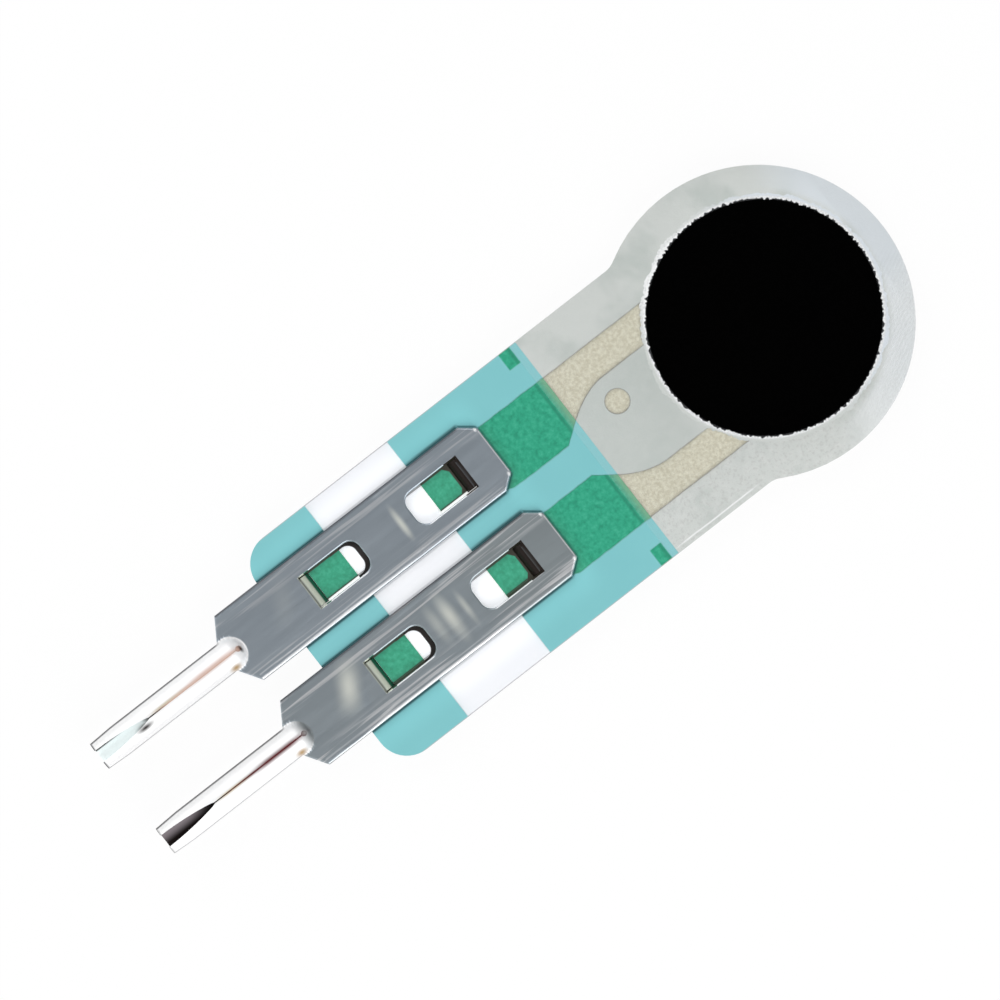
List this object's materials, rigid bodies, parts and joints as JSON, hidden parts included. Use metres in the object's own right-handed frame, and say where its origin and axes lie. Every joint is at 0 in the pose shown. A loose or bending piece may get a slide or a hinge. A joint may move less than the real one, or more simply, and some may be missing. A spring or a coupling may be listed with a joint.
{
  "type": "force sensing resistor",
  "caption": "Round force sensing resistor on a short flat film tail, with crimped contacts that end in solder pins.",
  "frame": {"origin": "under the centre of the round head, on the rear face that is stuck down", "axes": "+Y along the tail's centre line towards the far end of the head, +Z out of the sensing face, +X to the right when the sensing face is seen with the head at the top"},
  "size_m": [0.0074, 0.0224, 0.001],
  "materials": {
    "rear_adhesive": "tacky, milky clear",
    "base_film": "clear polyester film",
    "silver_ink": "grainy screen-printed silver",
    "insulation": "thin translucent teal coat",
    "spacer_adhesive": "milky, lightly mottled",
    "carbon_ink": "flat black print with a fine ragged rim",
    "top_film": "clear, slightly frosted polyester film",
    "contact_metal": "satin tin plate, bright on the rolled pin, bare copper alloy on cut edges"
  },
  "bodies": {
    "root": {"rear_adhesive": "rear_adhesive", "base_film": "base_film", "left_electrode": "silver_ink", "right_electrode": "silver_ink", "left_rear_pad": "silver_ink", "right_rear_pad": "silver_ink", "left_index_mark": "silver_ink", "right_index_mark": "silver_ink", "marker_dot": "silver_ink", "front_insulation": "insulation", "rear_insulation": "insulation", "spacer_adhesive": "spacer_adhesive", "carbon_disc": "carbon_ink", "top_film": "top_film", "left_contact": "contact_metal", "right_contact": "contact_metal"}
  },
  "joints": []
}
